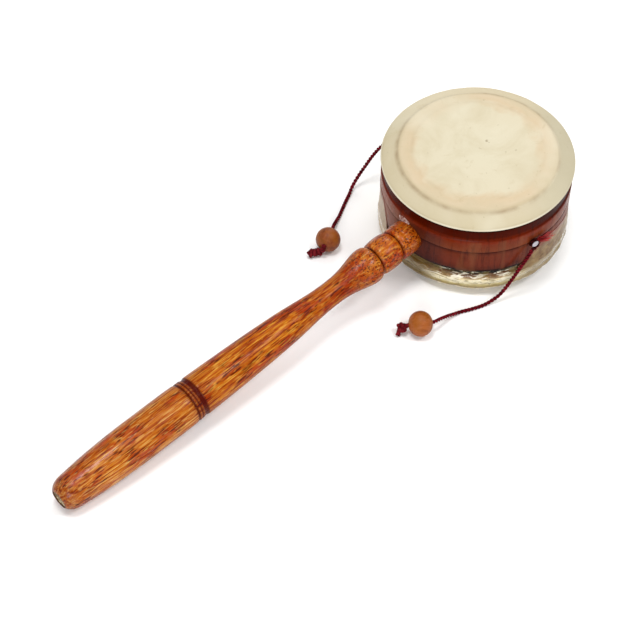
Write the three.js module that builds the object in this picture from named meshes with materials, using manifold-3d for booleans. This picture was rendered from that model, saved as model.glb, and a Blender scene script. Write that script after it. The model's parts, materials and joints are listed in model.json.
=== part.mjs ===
// A rattle drum on a turned handle, lying as it rests on a table: the butt of the handle and the near edge
// of the lower head touch the table, so the drum leans towards its handle.
// Millimetres, +Z up, the handle points to -X. Each piece of the instrument is first made upright around the
// drum's axis, with Z = 0 at the height of the handle's axis, and then leaned as one group.
import * as THREE from 'three';
import { mergeVertices } from 'three/addons/utils/BufferGeometryUtils.js';
import Module from 'manifold-3d';

const wasm = await Module();
wasm.setup();

// Driving dimensions of the drum
const SHELL_RADIUS = 49.6; // the shell's wall
const WALL = 8.6; // thickness of the shell between its two lands
const SHOULDER_WIDTH = 8.4; // from the wall in to the flat land under each head
const LAND_WIDTH = 6.8;
const LAND_DEPTH = 8; // thickness of the land under each head
const HEAD_OVERHANG = 0.4; // the upper head's cut edge past the wall
const EDGE_HEIGHT = 21.2; // the upper head's cut edge above the handle's axis
const PLATEAU_RISE = 5.1; // the flat of either head past its edge
const HIDE = 0.9; // thickness of the rawhide
const BAND_RECESS = 0.8; // the dark upper band lies behind the wall by this much
const BAND_HEIGHT = 8.8; // the dark upper band, from the cut edge down
const GROOVE_DROP = 17.5; // the turned groove's middle, from the cut edge down
const GROOVE_WIDTH = 0.8;
const GROOVE_CUT = 0.6;

// The lower head comes up the wall as a skirt that flares to a rim
const SKIRT_DROP = 33; // top of the skirt, from the upper cut edge down
const SKIRT_INSET = 0.4; // the skirt's top behind the wall
const SKIRT_CREASE = 3.4; // from the skirt's top down to the crease in it
const SKIRT_REBATE = 1.6; // the shell is cut back by this much behind the skirt
const RIM_DROP = 45.1; // the widest line of the lower head, from the upper cut edge down
const RIM_FLARE = 0.9; // the rim past the wall
const RIM_ROUND = 0.5;
const RIM_SWELL = 0.8; // how far the skirt draws in above the rim
const RIM_SWELL_HEIGHT = 6;

// Driving dimensions of the handle: radii, and lengths one after the other from the drum's wall
const COLLAR_RADIUS = 9;
const COLLAR_PLAIN = 6.7; // from the wall to the line turned into the collar
const COLLAR_LENGTH = 11;
const COLLAR_STEP = 0.4; // the collar is thinner past the line
const BEAD_RADIUS = 9.3;
const BEAD_LENGTH = 14.3;
const VASE_RADIUS = 9.8;
const VASE_SHOULDER = 4.1; // from the groove before the vase to its widest place
const VASE_LENGTH = 25; // from there to the neck
const NECK_RADIUS = 6.3;
const GRIP_RADIUS = 10.5;
const GRIP_LENGTH = 87.5;
const RIDGE_LENGTH = 8.5; // the stretch with the two turned grooves
const BUTT_RADIUS = 10.6;
const BUTT_SWELL = 22; // from the grooves to the butt's widest place
const BUTT_TAPER = 44.8; // from there to the rounded end
const BUTT_END_RADIUS = 8.6;
const ROUND_LENGTH = 8.5; // the rounding would come to a point this far on
const CUT_RADIUS = 4.8; // the end is cut flat where the rounding has this radius
const CUT_HOLLOW = 0.5; // depth of the hollow in the cut end
const NOTCH = 1.3; // depth of the grooves between collar, bead and vase
const TENON_RADIUS = 5;
const TENON_SETBACK = 1; // the tenon ends this far outside the shell's hollow

// Nails, cords and beads
const NAIL_ANGLE = 101; // degrees around the drum, from +X
const NAIL_RADIUS = 1.9;
const NAIL_DOME = 0.9;
const SHANK_RADIUS = 0.7;
const SHANK_LENGTH = 8;
const CORD_RADIUS = 0.8;
const HITCH_RADIUS = 2.9; // outside of the cord's turn round the nail
const BALL_RADIUS = 6.6; // the bead across its hole
const BALL_HALF_LENGTH = 5.9; // the bead along its hole
const BALL_BORE = 1.2;
const KNOT_RADIUS = 2.5;

const GAP = 0.3; // between pieces that touch
const CUT_THROUGH = 4; // a cut runs this far past the wood
const AROUND_DRUM = 56; // facets around the drum
const AROUND_HANDLE = 24;
const AROUND_BALL = 18;
const AROUND_SMALL = 14;

// Radii and heights that several pieces of the drum share
const headRadius = SHELL_RADIUS + HEAD_OVERHANG;
const plateauRadius = SHELL_RADIUS - SHOULDER_WIDTH;
const shellBore = plateauRadius - LAND_WIDTH;
const shellHollow = SHELL_RADIUS - WALL;
const skirtRadius = SHELL_RADIUS - SKIRT_INSET;
const skirtSeat = SHELL_RADIUS - SKIRT_REBATE;
const rimRadius = SHELL_RADIUS + RIM_FLARE;
const plateauTop = EDGE_HEIGHT + PLATEAU_RISE;
const rimHeight = EDGE_HEIGHT - RIM_DROP;
const plateauBottom = rimHeight - PLATEAU_RISE;
const skirtTop = EDGE_HEIGHT - SKIRT_DROP;
const grooveHeight = EDGE_HEIGHT - GROOVE_DROP;
const shellTop = plateauTop - HIDE - GAP;
const shellBottom = plateauBottom + HIDE + GAP;
const shoulderTop = EDGE_HEIGHT - HIDE - GAP;
const shoulderBottom = rimHeight + HIDE + GAP;

// Distances of the handle's features from the drum's axis
const collarLine = SHELL_RADIUS + COLLAR_PLAIN;
const collarEnd = SHELL_RADIUS + COLLAR_LENGTH;
const beadEnd = collarEnd + BEAD_LENGTH;
const vaseAt = beadEnd + VASE_SHOULDER;
const neckAt = vaseAt + VASE_LENGTH;
const gripEnd = neckAt + GRIP_LENGTH;
const ridgeEnd = gripEnd + RIDGE_LENGTH;
const buttAt = ridgeEnd + BUTT_SWELL;
const roundingAt = buttAt + BUTT_TAPER;
const cutAngle = Math.acos(CUT_RADIUS / BUTT_END_RADIUS);
const handleReach = roundingAt + ROUND_LENGTH * Math.sin(cutAngle);

function finish(color, roughness, metalness = 0) {
  return new THREE.MeshStandardMaterial({ color, roughness, metalness });
}

function turned(outline, around) {
  const points = outline.map(([radius, height]) => new THREE.Vector2(radius, height));
  return new THREE.LatheGeometry(points, around).rotateX(Math.PI / 2);
}

function solid(geometry) {
  const bare = geometry.clone();
  bare.deleteAttribute('normal');
  bare.deleteAttribute('uv');
  const merged = mergeVertices(bare, 1e-4);
  return new wasm.Manifold(
    new wasm.Mesh({
      numProp: 3,
      vertProperties: new Float32Array(merged.attributes.position.array),
      triVerts: new Uint32Array(merged.index.array),
    }),
  );
}

function geometryOf(shape) {
  const { vertProperties, triVerts } = shape.getMesh();
  const geometry = new THREE.BufferGeometry();
  geometry.setAttribute('position', new THREE.BufferAttribute(new Float32Array(vertProperties), 3));
  geometry.setIndex(new THREE.BufferAttribute(new Uint32Array(triVerts), 1));
  geometry.computeVertexNormals();
  return geometry;
}

function piece(name, geometry, material) {
  const mesh = new THREE.Mesh(geometry, material);
  mesh.name = name;
  return mesh;
}

// A cylinder whose axis runs out of the drum at the given angle
function rod(radius, from, to, angle, height, around) {
  const geometry = new THREE.CylinderGeometry(radius, radius, to - from, around);
  geometry.rotateZ(-Math.PI / 2);
  geometry.translate((from + to) / 2, 0, height);
  return geometry.rotateZ(THREE.MathUtils.degToRad(angle));
}

// The turned wooden ring: two lands that carry the heads, a hollow between them, and its outer mouldings
function shellGeometry() {
  const bandBottom = EDGE_HEIGHT - BAND_HEIGHT;
  const bandRadius = SHELL_RADIUS - BAND_RECESS;
  const shoulderRadius = plateauRadius - GAP;
  const ring = turned(
    [
      [shellBore, shellBottom],
      [shoulderRadius, shellBottom],
      [skirtSeat, shoulderBottom],
      [skirtSeat, skirtTop - GAP],
      [SHELL_RADIUS - GAP, skirtTop + GAP],
      [SHELL_RADIUS, grooveHeight - GROOVE_WIDTH / 2],
      [SHELL_RADIUS - GROOVE_CUT, grooveHeight],
      [SHELL_RADIUS, grooveHeight + GROOVE_WIDTH / 2],
      [SHELL_RADIUS, bandBottom - BAND_RECESS],
      [bandRadius, bandBottom],
      [bandRadius, shoulderTop],
      [shoulderRadius, shellTop],
      [shellBore, shellTop],
      [shellBore, shellTop - LAND_DEPTH],
      [shellHollow, shellTop - LAND_DEPTH],
      [shellHollow, shellBottom + LAND_DEPTH],
      [shellBore, shellBottom + LAND_DEPTH],
      [shellBore, shellBottom],
    ],
    AROUND_DRUM,
  );
  const outside = SHELL_RADIUS + CUT_THROUGH;
  const socket = rod(TENON_RADIUS + GAP, shellHollow - CUT_THROUGH, outside, 180, 0, AROUND_SMALL);
  let shape = solid(ring).subtract(solid(socket));
  for (const side of [-1, 1]) {
    const deep = SHELL_RADIUS - SHANK_LENGTH;
    const hole = rod(SHANK_RADIUS + GAP, deep, outside, side * NAIL_ANGLE, grooveHeight, AROUND_SMALL);
    shape = shape.subtract(solid(hole));
  }
  return geometryOf(shape);
}

// The upper head: a flat membrane, a soft step at its edge and a sloping flange that ends in a cut edge
function upperHeadGeometry() {
  const underside = plateauTop - HIDE;
  return turned(
    [
      [0, underside],
      [plateauRadius - HIDE / 2, underside],
      [headRadius - HIDE, EDGE_HEIGHT - HIDE],
      [headRadius, EDGE_HEIGHT - HIDE],
      [headRadius, EDGE_HEIGHT],
      [(headRadius + plateauRadius) / 2, EDGE_HEIGHT + PLATEAU_RISE * 0.52],
      [plateauRadius + HIDE, plateauTop - HIDE / 2],
      [plateauRadius - HIDE / 2, plateauTop],
      [0, plateauTop],
    ],
    AROUND_DRUM,
  );
}

// The lower head: the same flat and flange turned down, and a skirt drawn up the wall
function lowerHeadGeometry() {
  const inner = skirtSeat + GAP;
  return turned(
    [
      [0, plateauBottom],
      [plateauRadius, plateauBottom],
      [plateauRadius + HIDE, plateauBottom + HIDE / 3],
      [rimRadius - RIM_ROUND, rimHeight - RIM_ROUND],
      [rimRadius, rimHeight + RIM_ROUND],
      [rimRadius - RIM_SWELL * 0.15, rimHeight + RIM_SWELL_HEIGHT * 0.35],
      [rimRadius - RIM_SWELL * 0.6, rimHeight + RIM_SWELL_HEIGHT * 0.6],
      [rimRadius - RIM_SWELL, rimHeight + RIM_SWELL_HEIGHT],
      [skirtRadius - GAP / 3, skirtTop - SKIRT_CREASE],
      [skirtRadius, skirtTop - GAP],
      [inner, skirtTop - GAP],
      [inner, rimHeight + HIDE + GAP],
      [plateauRadius, plateauBottom + HIDE],
      [0, plateauBottom + HIDE],
    ],
    AROUND_DRUM,
  );
}

// Points of an arc of an ellipse between two angles in degrees
function arc(centre, radii, start, end, count) {
  const curve = new THREE.EllipseCurve(
    ...centre,
    ...radii,
    THREE.MathUtils.degToRad(start),
    THREE.MathUtils.degToRad(end),
    end < start,
  );
  return curve.getPoints(count).map((point) => [point.x, point.y]);
}

// A smooth stretch through a few radii, each given at its distance from the drum's axis
function swell(stations, count) {
  const curve = new THREE.SplineCurve(stations.map((station) => new THREE.Vector2(...station)));
  return curve.getPoints(count).map((point) => [point.x, point.y]);
}

function collarOutline() {
  const thin = COLLAR_RADIUS - COLLAR_STEP;
  return [
    [COLLAR_RADIUS, SHELL_RADIUS - COLLAR_RADIUS],
    [COLLAR_RADIUS, collarLine - COLLAR_STEP],
    [thin, collarLine],
    [thin + COLLAR_STEP / 2, collarEnd - 1.6 * NOTCH],
    [thin - COLLAR_STEP, collarEnd - NOTCH / 2],
    [thin - NOTCH, collarEnd],
  ];
}

function beadOutline() {
  const middle = (collarEnd + beadEnd) / 2;
  const reach = BEAD_LENGTH / 2;
  const foot = BEAD_RADIUS - NOTCH - 1;
  return arc([foot, middle], [BEAD_RADIUS - foot, reach], -84, 84, 7);
}

function vaseOutline() {
  const taper = VASE_RADIUS - NECK_RADIUS;
  return swell(
    [
      [VASE_RADIUS - 1.5 * NOTCH, beadEnd + 0.07 * VASE_SHOULDER],
      [VASE_RADIUS - 0.4 * NOTCH, beadEnd + 0.35 * VASE_SHOULDER],
      [VASE_RADIUS, vaseAt],
      [VASE_RADIUS - 0.3 * taper, vaseAt + 0.27 * VASE_LENGTH],
      [NECK_RADIUS + 0.26 * taper, neckAt - 0.44 * VASE_LENGTH],
      [NECK_RADIUS, neckAt],
    ],
    9,
  );
}

function gripOutline() {
  const growth = GRIP_RADIUS - NECK_RADIUS;
  const shares = [
    [0.08, 0.02],
    [0.17, 0.16],
    [0.31, 0.46],
    [0.46, 0.65],
    [0.74, 0.88],
    [1, 1],
  ];
  return swell(
    shares.map(([along, out]) => [NECK_RADIUS + growth * out, neckAt + GRIP_LENGTH * along]),
    9,
  );
}

// Two turned grooves with a plain ridge between them
function ridgeOutline() {
  const wide = gripEnd + 0.28 * RIDGE_LENGTH;
  const narrow = ridgeEnd - 0.16 * RIDGE_LENGTH;
  const half = RIDGE_LENGTH / 14;
  const ridge = GRIP_RADIUS - GAP / 3;
  return [
    [ridge, wide - 2.5 * half],
    [ridge - NOTCH * 0.4, wide - half],
    [ridge - NOTCH * 0.4, wide + half],
    [ridge, wide + 2.5 * half],
    [ridge, narrow - half],
    [ridge - NOTCH * 0.45, narrow],
    [ridge, narrow + half],
  ];
}

function buttOutline() {
  const taper = BUTT_RADIUS - BUTT_END_RADIUS;
  return [
    ...swell(
      [
        [GRIP_RADIUS, ridgeEnd],
        [BUTT_RADIUS, buttAt],
        [BUTT_RADIUS - 0.08 * taper, buttAt + 0.38 * BUTT_TAPER],
        [BUTT_RADIUS - 0.6 * taper, buttAt + 0.8 * BUTT_TAPER],
        [BUTT_END_RADIUS, roundingAt],
      ],
      7,
    ),
    ...arc([0, roundingAt], [BUTT_END_RADIUS, ROUND_LENGTH], 16, THREE.MathUtils.radToDeg(cutAngle), 4),
  ];
}

function handleOutline() {
  const upper = [...collarOutline(), ...beadOutline(), ...vaseOutline()];
  return [...upper, ...gripOutline().slice(1), ...ridgeOutline(), ...buttOutline()];
}

// The handle is one turned piece: its collar is coped to the drum's wall, and a tenon enters the wall
function handleGeometry() {
  const outline = handleOutline();
  const inner = [0, SHELL_RADIUS - COLLAR_RADIUS];
  const blank = turned([inner, ...outline, [0, handleReach - CUT_HOLLOW]], AROUND_HANDLE);
  blank.rotateY(-Math.PI / 2);
  const cope = SHELL_RADIUS + GAP;
  const wall = new THREE.CylinderGeometry(cope, cope, 4 * COLLAR_RADIUS, 4 * AROUND_DRUM);
  wall.rotateX(Math.PI / 2);
  const tenon = rod(TENON_RADIUS, shellHollow + TENON_SETBACK, collarEnd, 180, 0, AROUND_SMALL);
  return geometryOf(solid(blank).subtract(solid(wall)).add(solid(tenon)));
}

// What stands on the wall at a nail is made around +Z and then turned to point out of the drum
function atNail(geometry, side) {
  geometry.rotateY(Math.PI / 2);
  geometry.translate(SHELL_RADIUS, 0, grooveHeight);
  return geometry.rotateZ(THREE.MathUtils.degToRad(side * NAIL_ANGLE));
}

function nailGeometry(side) {
  const seat = 2 * GAP + 2 * CORD_RADIUS;
  const outline = [
    [0, GAP - SHANK_LENGTH],
    [SHANK_RADIUS, GAP + SHANK_RADIUS - SHANK_LENGTH],
    [SHANK_RADIUS, seat],
    [NAIL_RADIUS, seat],
    [NAIL_RADIUS * 0.8, seat + NAIL_DOME * 0.7],
    [0, seat + NAIL_DOME],
  ];
  return atNail(turned(outline, AROUND_SMALL), side);
}

// The cord's turn round the nail's shank, under its head
function hitchGeometry(side) {
  const ring = new THREE.TorusGeometry(HITCH_RADIUS - CORD_RADIUS, CORD_RADIUS, 6, AROUND_SMALL);
  ring.translate(0, 0, GAP + CORD_RADIUS);
  return atNail(ring, side);
}

// The cords lie on the table as they fell. Their points are in the table's frame, from under the drum's centre.
const RIGHT_ROUTE = [
  [-11.7, -50.8, 31.9],
  [-12.9, -50.9, 30.6],
  [-14.7, -50.6, 27.2],
  [-16.9, -50.0, 22.9],
  [-19.7, -49.0, 16.6],
  [-22.2, -48.0, 11.0],
  [-24.5, -47.3, 7.0],
  [-27.0, -46.6, 4.2],
  [-30.2, -45.6, 2.2],
  [-34.9, -44.3, 0.9],
  [-41.5, -42.1, 0.9],
  [-47.6, -39.6, 1.0],
  [-52.0, -38.8, 1.9],
  [-56.3, -38.5, 3.5],
  [-61.6, -38.5, 5.6],
  [-67.4, -38.2, 7.1],
  [-72.6, -34.5, 6.6],
  [-77.2, -30.9, 6.1],
];
const LEFT_ROUTE = [
  [-11.2, 51.7, 31.8],
  [-12.0, 54.0, 30.2],
  [-13.1, 55.8, 27.9],
  [-15.9, 58.2, 22.1],
  [-19.9, 60.2, 14.0],
  [-23.8, 61.2, 7.8],
  [-28.0, 60.9, 3.2],
  [-32.6, 58.7, 1.1],
  [-37.0, 56.5, 0.9],
  [-42.7, 53.4, 0.9],
  [-48.4, 50.2, 1.2],
  [-53.6, 47.5, 2.6],
  [-58.2, 44.7, 4.3],
  [-63.0, 40.8, 5.5],
  [-68.2, 38.3, 6.6],
  [-73.4, 35.9, 7.5],
];
const CORD_STEP = 3; // length of one step of a cord's tube

function vectors(route) {
  return route.map((point) => new THREE.Vector3(...point));
}

function cordGeometry(route) {
  const path = new THREE.CatmullRomCurve3(vectors(route), false, 'centripetal');
  const section = new THREE.Shape();
  for (let corner = 0; corner < 8; corner += 1) {
    const angle = (corner + 0.5) * (Math.PI / 4);
    const method = corner === 0 ? 'moveTo' : 'lineTo';
    section[method](CORD_RADIUS * Math.cos(angle), CORD_RADIUS * Math.sin(angle));
  }
  const steps = Math.round(path.getLength() / CORD_STEP);
  return new THREE.ExtrudeGeometry(section, { steps, extrudePath: path, bevelEnabled: false });
}

// Turns what was made around +Z so that +Z points from one place to another
function aim(object, from, to) {
  const direction = to.clone().sub(from).normalize();
  object.quaternion.setFromUnitVectors(new THREE.Vector3(0, 0, 1), direction);
}

// A slightly flattened wooden ball, threaded on the cord between the last but one and the last of its points
function ballGeometry() {
  const lip = THREE.MathUtils.radToDeg(Math.acos(BALL_BORE / BALL_RADIUS));
  const outside = arc([0, 0], [BALL_RADIUS, BALL_HALF_LENGTH], -lip, lip, 10);
  return turned([...outside, outside[0]], AROUND_BALL);
}

function addCord(parent, side, route, colour) {
  const places = vectors(route);
  const [before, centre, exit] = places.slice(-3);
  const cord = piece(`cord_${side}`, cordGeometry(route), finish(colour, 0.9));
  const ball = piece(`bead_${side}`, ballGeometry(), finish(0xb0683a, 0.55));
  ball.position.copy(centre);
  aim(ball, before, exit);
  const along = exit.clone().sub(centre).normalize();
  const knot = piece(`knot_${side}`, new THREE.SphereGeometry(KNOT_RADIUS, 12, 8), finish(colour, 0.9));
  knot.position.copy(exit).addScaledVector(along, KNOT_RADIUS + GAP);
  parent.add(cord, ball, knot);
}

// The angle at which the table touches both the lower head's flat and the handle
function restingLean() {
  const slopes = handleOutline()
    .filter(([, reach]) => reach > gripEnd)
    .map(([radius, reach]) => Math.atan2(-plateauBottom - radius, reach - plateauRadius));
  return Math.min(...slopes);
}

const instrument = new THREE.Group();
instrument.add(
  piece('drum_shell', shellGeometry(), finish(0x5a2012, 0.3)),
  piece('drumhead_top', upperHeadGeometry(), finish(0xe6dcbf, 0.6)),
  piece('drumhead_bottom', lowerHeadGeometry(), finish(0xcbbd8c, 0.4)),
  piece('handle', handleGeometry(), finish(0xb45a22, 0.35)),
);
const sides = { right: -1, left: 1 };
for (const [name, side] of Object.entries(sides)) {
  instrument.add(
    piece(`nail_${name}`, nailGeometry(side), finish(0xe6e6e6, 0.3, 0.7)),
    piece(`hitch_${name}`, hitchGeometry(side), finish(0x6a0f18, 0.9)),
  );
}
instrument.rotation.y = -restingLean();
instrument.position.z = -new THREE.Box3().setFromObject(instrument, true).min.z;

const box = new THREE.Box3().setFromObject(instrument, true);
const drum = new THREE.Group();
drum.position.x = -(box.min.x + box.max.x) / 2;
drum.add(instrument);
addCord(drum, 'right', RIGHT_ROUTE, 0x6a0f18);
addCord(drum, 'left', LEFT_ROUTE, 0x6a0f18);

export default drum;
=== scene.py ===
# %% [markdown]
# # A rattle drum on a turned handle
# The drum lies on a table: a turned wooden ring with a rawhide head on each side, a turned handle,
# and two cords that end in wooden beads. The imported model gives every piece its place, so it is loaded
# first. All lengths in this lesson are metres, and MM turns the sizes of a workshop drawing into them.

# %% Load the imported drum
import json
import math
import random

import bpy
from mathutils import Matrix, Vector, noise


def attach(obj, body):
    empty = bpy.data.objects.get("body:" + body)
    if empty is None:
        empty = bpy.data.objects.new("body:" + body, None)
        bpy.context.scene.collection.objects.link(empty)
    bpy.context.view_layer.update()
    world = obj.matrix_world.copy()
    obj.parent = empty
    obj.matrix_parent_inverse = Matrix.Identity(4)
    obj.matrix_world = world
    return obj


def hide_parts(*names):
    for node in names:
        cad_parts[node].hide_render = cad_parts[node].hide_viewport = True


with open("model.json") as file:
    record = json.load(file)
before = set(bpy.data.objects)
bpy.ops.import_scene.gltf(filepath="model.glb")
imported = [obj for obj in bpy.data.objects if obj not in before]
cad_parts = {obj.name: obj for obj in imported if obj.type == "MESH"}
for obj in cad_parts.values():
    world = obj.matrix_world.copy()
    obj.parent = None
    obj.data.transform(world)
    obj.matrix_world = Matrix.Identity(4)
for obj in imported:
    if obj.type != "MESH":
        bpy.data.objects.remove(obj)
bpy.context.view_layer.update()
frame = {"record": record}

MM = 0.001

# %% [markdown]
# ## Where the drum stands
# The instrument leans on the butt of its handle, so the drum's own axis is tilted by about five degrees.
# The record gives the centre of the upper head and the way it faces. From these comes a frame for the
# drum: Z runs up its axis, X away from the handle, and the origin is where the handle's axis meets it.
# Each piece is made upright in that frame, laid in place at the end, and its place is put in its mesh.

# %% Find the drum's own frame
HEAD_CENTRE_HEIGHT = 26.3  # the upper head's flat above the handle's axis, in mm
head_mount = next(m for m in frame["record"]["mounts"] if m["name"] == "upper_head")
up = Vector(head_mount["axis"]).normalized()
away = Vector((up.z, 0, -up.x))
centre = Vector(head_mount["pos_m"]) - HEAD_CENTRE_HEIGHT * MM * up
DRUM = Matrix.Translation(centre) @ Matrix((away, up.cross(away), up)).transposed().to_4x4()
print("the drum leans by", round(math.degrees(up.angle(Vector((0, 0, 1)))), 2), "degrees")

# %% [markdown]
# ## The camera
# The photograph was taken from above the handle's left side with a fairly long lens. The eye's place and
# the three turns were found from the outlines of the two heads and the handle. A camera looks along its
# own -Z, so its three axes are worked out from the azimuth, the elevation and a small roll.

# %% Set up the camera
def camera_turn(azimuth, elevation, roll):
    a, e, r = (math.radians(angle) for angle in (azimuth, elevation, roll))
    back = Vector((math.sin(a) * math.cos(e), -math.cos(a) * math.cos(e), math.sin(e)))
    right = Vector((math.cos(a), math.sin(a), 0))
    over = back.cross(right)
    turned_right = math.cos(r) * right + math.sin(r) * over
    turned_over = math.cos(r) * over - math.sin(r) * right
    return Matrix((turned_right, turned_over, back)).transposed()


AZIMUTH, ELEVATION, ROLL = -46.51, 50.01, 4.32  # of the fitted camera, in degrees
lens = bpy.data.cameras.new("studio_camera")
lens.lens = 84.375
lens.sensor_width = 36
lens.clip_start = 0.01
camera = bpy.data.objects.new("studio_camera", lens)
eye = Vector((-0.35203, -0.33419, 0.58657))
camera.matrix_world = Matrix.Translation(eye) @ camera_turn(AZIMUTH, ELEVATION, ROLL).to_4x4()
bpy.context.collection.objects.link(camera)
bpy.context.scene.camera = camera
print("eye to drum:", round((eye - centre).length, 3), "m")

# %% [markdown]
# ## The way the cords lie
# Each cord leaves its nail, hangs down the wall, runs a short way over the table and rises into its
# bead's hole. The points are the same ones as in the imported model. A centripetal curve
# passes through all of them without loops, and it is walked in even steps, because a twist is only
# regular on even steps.

# %% Trace the two cords
UNDER_DRUM = Vector((110.389, 0, 0))  # the routes are measured from under the drum's centre, in mm
SIDES = {"right": -1, "left": 1}  # each side and the sign of its Y
ROUTES = {"right": [
    (-11.7, -50.8, 31.9), (-12.9, -50.9, 30.6), (-14.7, -50.6, 27.2), (-16.9, -50.0, 22.9),
    (-19.7, -49.0, 16.6), (-22.2, -48.0, 11.0), (-24.5, -47.3, 7.0), (-27.0, -46.6, 4.2),
    (-30.2, -45.6, 2.2), (-34.9, -44.3, 0.9), (-41.5, -42.1, 0.9), (-47.6, -39.6, 1.0),
    (-52.0, -38.8, 1.9), (-56.3, -38.5, 3.5), (-61.6, -38.5, 5.6), (-67.4, -38.2, 7.1),
    (-72.6, -34.5, 6.6), (-77.2, -30.9, 6.1),
], "left": [
    (-11.2, 51.7, 31.8), (-12.0, 54.0, 30.2), (-13.1, 55.8, 27.9), (-15.9, 58.2, 22.1),
    (-19.9, 60.2, 14.0), (-23.8, 61.2, 7.8), (-28.0, 60.9, 3.2), (-32.6, 58.7, 1.1),
    (-37.0, 56.5, 0.9), (-42.7, 53.4, 0.9), (-48.4, 50.2, 1.2), (-53.6, 47.5, 2.6),
    (-58.2, 44.7, 4.3), (-63.0, 40.8, 5.5), (-68.2, 38.3, 6.6), (-73.4, 35.9, 7.5),
]}


def on_table(*point):
    """A place in mm from under the drum's centre, as a place in the scene."""
    return (UNDER_DRUM + Vector(point)) * MM


def curve_through(points, per_span=24):
    """Many points of a centripetal curve through a few."""
    points = [Vector(p) for p in points]
    padded = [2 * points[0] - points[1], *points, 2 * points[-1] - points[-2]]
    dense = []
    for p0, p1, p2, p3 in zip(padded, padded[1:], padded[2:], padded[3:]):
        d1, d2, d3 = (math.sqrt((b - a).length) for a, b in ((p0, p1), (p1, p2), (p2, p3)))
        leave = ((p1 - p0) / d1 - (p2 - p0) / (d1 + d2) + (p2 - p1) / d2) * d2
        reach = ((p2 - p1) / d2 - (p3 - p1) / (d2 + d3) + (p3 - p2) / d3) * d2
        for step in range(per_span):
            t = step / per_span
            dense.append(
                p1 * (2 * t**3 - 3 * t**2 + 1)
                + leave * (t**3 - 2 * t**2 + t)
                + p2 * (3 * t**2 - 2 * t**3)
                + reach * (t**3 - t**2)
            )
    return [*dense, points[-1]]


def even_steps(points, step):
    """Walks along the points and leaves one at each even step."""
    lengths = [(b - a).length for a, b in zip(points, points[1:])]
    total = sum(lengths)
    count = max(2, round(total / step))
    walked, here, even = 0.0, 0, [points[0].copy()]
    for number in range(1, count):
        goal = total * number / count
        while walked + lengths[here] < goal:
            walked += lengths[here]
            here += 1
        even.append(points[here].lerp(points[here + 1], (goal - walked) / lengths[here]))
    return [*even, points[-1].copy()]


def length_of(points):
    return sum((b - a).length for a, b in zip(points, points[1:]))


CORD_LINES = {
    side: even_steps(curve_through([on_table(*p) for p in route]), 0.25 * MM)
    for side, route in ROUTES.items()
}
for side, line in CORD_LINES.items():
    print(side, "cord:", round(length_of(line) / MM, 1), "mm")

# %% [markdown]
# ## Twisting two strands into a cord
# The real cord is thin twisted thread: two strands lie round each other, one turn in a little under four
# millimetres, which gives the row of small bumps along its edge. A tube with a bump pattern would have
# a smooth outline, so each strand is a tube of its own that winds round the line. A pair of side
# directions is carried along the line without spin, and the strands turn steadily against it. Two
# things are kept in the mesh for the finish: a UV map of how far along and round each point lies, for
# the fibres, and how proud of the cord's own line it stands, for the painted shade in the creases.

# %% Make a helper that twists strands round a line
def carried_sides(line):
    """For each point of a line its direction and two sides square to it, carried along without spin."""
    ahead = [(b - a).normalized() for a, b in zip(line, line[1:])]
    ahead = [ahead[0], *[(a + b).normalized() for a, b in zip(ahead, ahead[1:])], ahead[-1]]
    side = ahead[0].orthogonal().normalized()
    sides = []
    for direction in ahead:
        side = (side - direction * side.dot(direction)).normalized()
        sides.append((direction, side, direction.cross(side)))
    return sides


def tube(line, thickness, round_count):
    """Corners, faces and UV places of a closed tube along a line; thickness gives each ring's radius."""
    corners, faces, places = [], [], []
    rings = carried_sides(line)
    for here, (_, a, b) in enumerate(rings):
        for n in range(round_count):
            turn_by = math.tau * n / round_count
            corners.append(line[here] + thickness[here] * (math.cos(turn_by) * a + math.sin(turn_by) * b))
    step = length_of(line) / (len(line) - 1)
    for here in range(len(line) - 1):
        for n in range(round_count):
            m = (n + 1) % round_count
            first, second = here * round_count, (here + 1) * round_count
            faces.append((first + n, first + m, second + m, second + n))
            near, far = here * step / MM, (here + 1) * step / MM
            places.append([(n / round_count, near), ((n + 1) / round_count, near),
                           ((n + 1) / round_count, far), (n / round_count, far)])
    faces.append(tuple(reversed(range(round_count))))
    faces.append(tuple(range(len(corners) - round_count, len(corners))))
    places += [[(0.5, 0.0)] * round_count, [(0.5, length_of(line) / MM)] * round_count]
    return corners, faces, places


def join_tubes(name, tubes):
    """Puts several tubes into one piece, with their UV places in a map named fibre."""
    corners, faces, places = [], [], []
    for more_corners, more_faces, more_places in tubes:
        start = len(corners)
        corners += more_corners
        faces += [tuple(start + corner for corner in face) for face in more_faces]
        places += more_places
    mesh = bpy.data.meshes.new(name)
    mesh.from_pydata(corners, [], faces)
    fibre = mesh.uv_layers.new(name="fibre")
    for polygon, spots in zip(mesh.polygons, places):
        for loop, spot in zip(polygon.loop_indices, spots):
            fibre.data[loop].uv = spot
    mesh.shade_smooth()
    piece = bpy.data.objects.new(name, mesh)
    bpy.context.collection.objects.link(piece)
    return piece


def keep_in_mesh(piece, name, values):
    """Keeps one number for each point of a mesh, for its finish to read."""
    piece.data.attributes.new(name, "FLOAT", "POINT").data.foreach_set("value", values)


PITCH = 3.9 * MM  # the cord's length for one turn of a strand
STRAND = 0.54 * MM  # the radius of one strand
WINDING = 0.5 * MM  # how far a strand lies from the cord's own line
PLIES = 2


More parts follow.
